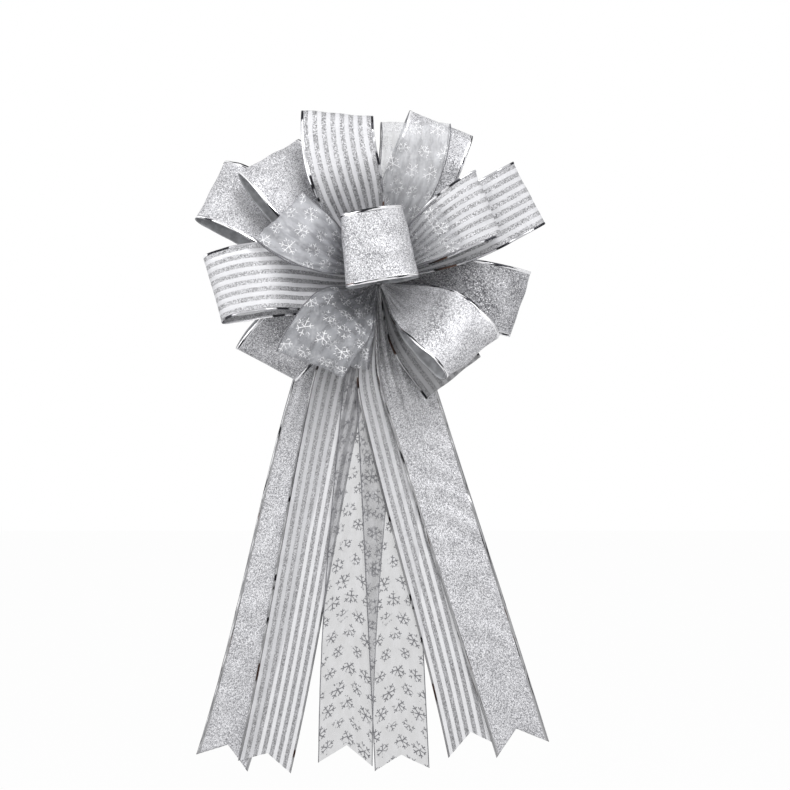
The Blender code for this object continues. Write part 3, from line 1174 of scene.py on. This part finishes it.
@dataclass
class RibbonWork:
    """All the bands of ribbon, dressed in their finishes."""

    loops: tuple[Loop, ...] = LOOPS
    centre: CentreLoop = CentreLoop("loop_glitter_centre", "glitter_centre", GLITTER)
    streamers: tuple[Streamer, ...] = STREAMERS
    finishes: dict[Ribbon, Finish] = field(default_factory=dict)

    def make_finishes(self) -> None:
        """Makes the loop ribbons' materials."""
        self.finishes = {
            GLITTER: (GlitterFinish().material(), ReverseFinish().material()),
            STRIPE: (StripeFinish().material(), FoilEdgeFinish().material()),
            SNOWFLAKE: (OrganzaFinish().material(), SatinEdgeFinish().material()),
        }

    def own_finishes(self) -> dict[str, Finish]:
        """Makes lit and shaded copies of the finishes, painted light and painted shade, for the loops that
        look paler or darker than the rest.

        Returns:
            The two materials of each such loop, by its name.
        """
        # A darker copy of the striped ribbon and of its foil for the lower right loop: painted shade.
        striped = StripeFinish(
            "silver_striped_ribbon_painted_shade", cloth=0.50, silver=0.40, folds=PaintedFoldShade(0.10, 0.45, 0.25)
        )
        # A darker copy of the glitter for the lower left and right loops: painted shade.
        dark, pale = (0.08, 0.08, 0.09, 1.0), (0.72, 0.72, 0.75, 1.0)
        glitter = GlitterFinish("silver_glitter_ribbon_painted_shade", dark, pale, mottle=0.34)
        # Paler copies of the organza for the top right and right loops: painted light; the clear one is also
        # sheerer, with fewer flakes and lighter painted fold shade.
        bright = (0.88, 0.89, 0.92, 1.0)
        light = OrganzaFinish("snowflake_organza_painted_light", bright, sheer=0.40)
        clear = OrganzaFinish(
            "snowflake_organza_clear_painted_light", bright, sheer=0.16, cell=0.0300, folds=PaintedFoldShade(0.060, 0.25, 0.30)
        )
        # A darker copy of the organza for the bottom and lower left loops: painted shade.
        organza_shade_copy = OrganzaFinish("snowflake_organza_painted_shade", (0.50, 0.51, 0.54, 1.0), sheer=0.45)
        reverse, edge = self.finishes[GLITTER][1], self.finishes[SNOWFLAKE][1]
        glitter_painted_shade = (glitter.material(), reverse)
        organza_painted_shade = (organza_shade_copy.material(), edge)
        return {
            "loop_glitter_lower_left": glitter_painted_shade,
            "loop_glitter_right": glitter_painted_shade,
            "loop_stripe_lower_right": (striped.material(), FoilEdgeFinish("foil_edge_painted_shade", 0.5).material()),
            "loop_snowflake_top_right": (light.material(), edge),
            "loop_snowflake_right": (clear.material(), edge),
            "loop_snowflake_bottom": organza_painted_shade,
            "loop_snowflake_lower_left": organza_painted_shade,
        }

    def streamer_finishes(self) -> dict[Ribbon, Finish]:
        """Makes the narrower streamer ribbons' materials.

        Returns:
            The cloth and the second material of each ribbon.
        """
        glitter = GlitterFinish(
            "silver_glitter_tail",
            half=0.031,
            flake=0.00080,
            folds=PaintedFoldShade(0.17, 0.72, 0.10),
            # Dimmer foil on the tails: a duller edge, and in part painted shade along the edges.
            foil=0.42,
            streaks=0.62,
            mottle=0.12,
        )
        stripe = StripeFinish(
            "silver_striped_tail", 7, 0.062, folds=PaintedFoldShade(0.15, 0.70, 0.10), cloth=0.82, silver=0.60
        )
        organza = OrganzaFinish(
            "snowflake_organza_tail",
            cloth=(0.46, 0.46, 0.48, 1.0),
            flake_white=(0.17, 0.17, 0.185, 1.0),
            cell=0.0205,
            arm=0.0091,
            stroke=0.00068,
            folds=PaintedFoldShade(0.09, 0.60, 0.15),
        )
        return {
            GLITTER: (glitter.material(), self.finishes[GLITTER][1]),
            # The tails' foil edge at 0.30: a duller edge, and in part painted shade along the edges.
            STRIPE: (stripe.material(), FoilEdgeFinish("foil_edge_tail", 0.30, 0.62).material()),
            SNOWFLAKE: (organza.material(), self.finishes[SNOWFLAKE][1]),
        }

    def dress(self, band: Band, finish: Finish) -> None:
        """Args:
            band: the band.
            finish: its two materials.
        """
        stock, sheet = STOCKS[band.ribbon], band.sheet()
        shape = sheer_band if stock.sheer else slab
        piece = shape(f"{band.name}_ribbon", sheet, stock)
        for material in finish:
            piece.data.materials.append(material)
        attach(piece, band.body)
        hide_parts(band.name)
        LOG.info("%s: %d faces", piece.name, len(piece.data.polygons))

    def build(self) -> None:
        """Builds every loop and streamer."""
        self.make_finishes()
        own = self.own_finishes()
        for band in self.loops:
            self.dress(band, own.get(band.name, self.finishes[band.ribbon]))
        self.dress(self.centre, self.finishes[GLITTER])
        tails = self.streamer_finishes()
        for band in self.streamers:
            self.dress(band, tails[band.ribbon])


@dataclass
class Tie:
    """The gathered core and the wire round it.

    folds: folds round the core's girth
    depth: their depth
    shares: the core's radius at each ring, as a share of its full one
    stations: how far in front of the back each ring lies, as a share of the length
    """

    folds: int = 22
    depth: float = 0.0006
    shares: tuple[float, ...] = (0.55, 0.94, 1.0, 1.0, 1.0, 1.0, 0.94, 0.55)
    stations: tuple[float, ...] = (0.0, 0.0, 0.02, 0.3, 0.6, 0.98, 1.0, 1.0)

    def core(self) -> bpy.types.Object:
        """The fluted bundle of folds.

        The radius is the core's, less a rounded wave round its girth, drawn in at both
        ends; each end closes on a point at its middle.

        Returns:
            The piece.
        """
        turn = np.linspace(0.0, TURN, self.folds * 8, endpoint=False)
        wave = np.cos(turn * self.folds + 0.8 * np.sin(3 * turn))
        flute = CORE_RADIUS - self.depth * (0.5 + 0.5 * wave)
        radius = np.array(self.shares)[:, None] * flute[None, :]
        depth = np.repeat(-CORE_LENGTH * np.array(self.stations)[:, None], len(turn), 1)
        rings = np.stack((radius * np.cos(turn), depth, radius * np.sin(turn)), axis=-1)
        count = depth.size
        ends = np.array(((0.0, 0.0, 0.0), (0.0, -CORE_LENGTH, 0.0)))
        points = np.concatenate((rings.reshape(-1, 3), ends))
        number = numbered(rings)
        after = np.roll(number, -1, axis=1)
        first = np.stack((np.full(len(turn), count), after[0], number[0]), axis=-1)
        last = np.stack((np.full(len(turn), count + 1), number[-1], after[-1]), axis=-1)
        mesh = bpy.data.meshes.new("gathered_core_folds")
        faces = [*tube_faces(number).tolist(), *first.tolist(), *last.tolist()]
        mesh.from_pydata(points.tolist(), [], faces)
        mesh.shade_smooth()
        return link("gathered_core_folds", mesh)

    def build(self, nodes: dict[str, bpy.types.Object]) -> None:
        """Builds the core and gives the wire its finish.

        Args:
            nodes: the frame's nodes by name.
        """
        piece = self.core()
        piece.data.materials.append(GatherFinish().material())
        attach(piece, "core")
        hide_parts("gathered_core")
        LOG.info("%s: %d faces", piece.name, len(piece.data.polygons))
        steel = WireFinish().material()
        for name in ("tie_wire", "tie_wire_end_left", "tie_wire_end_right"):
            nodes[name].data.materials.clear()
            nodes[name].data.materials.append(steel)
            LOG.info("%s: finished", name)


@dataclass
class Studio:
    """Camera, soft lights, white surroundings and a plain pale floor.

    picture, focal: width of the picture and focal length, both in pixels
    eye: where the camera stands
    grey_light: brightness of the surroundings as a light
    floor_half, floor_height, floor_glow: half its side, its height, how white it is seen
    """

    picture: float = 790.0
    focal: float = 1308.0
    eye: tuple[float, float, float] = (0.019, -1.5, -0.13)
    grey_light: float = 0.45
    floor_half: float = 4.0
    floor_height: float = -0.70
    floor_glow: float = 0.97

    def camera(self) -> None:
        """A level camera in front of the bow."""
        data = bpy.data.cameras.new("camera")
        data.sensor_width = 36.0
        data.lens = self.focal / self.picture * 36.0
        made = link("camera", data)
        made.location = self.eye
        made.rotation_euler = (math.radians(90.0), 0.0, 0.0)
        bpy.context.scene.camera = made

    def lamp(self, name: str, size: float, watts: float, place: tuple, aim: tuple) -> None:
        """A square soft box.

        Args:
            name: the lamp's name.
            size: its side.
            watts: its power.
            place: where it stands.
            aim: the point it looks at.
        """
        data = bpy.data.lights.new(name, "AREA")
        data.size, data.energy = size, watts
        made = link(name, data)
        made.location = place
        x, y, z = np.array(aim, float) - np.array(place, float)
        made.rotation_euler = (math.atan2(np.hypot(x, y), -z), 0.0, math.atan2(x, -y) + math.pi)

    def world(self) -> None:
        """White to the camera and in reflections, and a plain grey light on the bow."""
        world = bpy.data.worlds.new("surroundings")
        bpy.context.scene.world = world
        g = Graph(world)
        background = g.tree.nodes["Background"]
        background.inputs["Color"].default_value = WHITE
        g.put(background.inputs["Strength"], g.between(g.seen(), self.grey_light, 1.0))

    def floor(self) -> None:
        """A plain floor below the streamers, white to the camera but for its shadow."""
        half, height = self.floor_half, self.floor_height
        mesh = bpy.data.meshes.new("floor")
        corners = [(x * half, y * half, height) for x, y in ((-1, -1), (1, -1), (1, 1), (-1, 1))]
        mesh.from_pydata(corners, [], [(0, 1, 2, 3)])
        g = MaterialGraph("pale_floor")
        mesh.materials.append(g.finish(Base_Color=(0.86, 0.86, 0.86, 1.0), Roughness=0.9))
        glow = g.node("Emission", {"Color": WHITE, "Strength": 1.0})[0]
        mixed = g.node("MixShader", {0: g.times(g.seen(), self.floor_glow), 1: g.shader.outputs[0], 2: glow})
        g.put(g.tree.nodes["Material Output"].inputs[0], mixed[0])
        link("floor", mesh)

    def build(self) -> None:
        """Sets up the whole studio."""
        bpy.context.scene.view_settings.view_transform = "Standard"
        self.camera()
        self.world()
        self.floor()
        self.lamp("key", 0.8, 17.0, (0.55, -1.5, 1.0), (0.0, 0.0, -0.05))
        self.lamp("fill", 1.4, 11.0, (-1.4, -1.2, 0.3), (0.0, 0.0, -0.15))


def main() -> None:
    """Builds the studio and the bow in order."""
    logging.basicConfig(level=logging.INFO, format="%(name)s: %(message)s")
    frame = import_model()
    Studio().build()
    Tie().build(frame["nodes"])
    RibbonWork().build()
    bpy.context.view_layer.update()


if __name__ == "__main__":
    main()
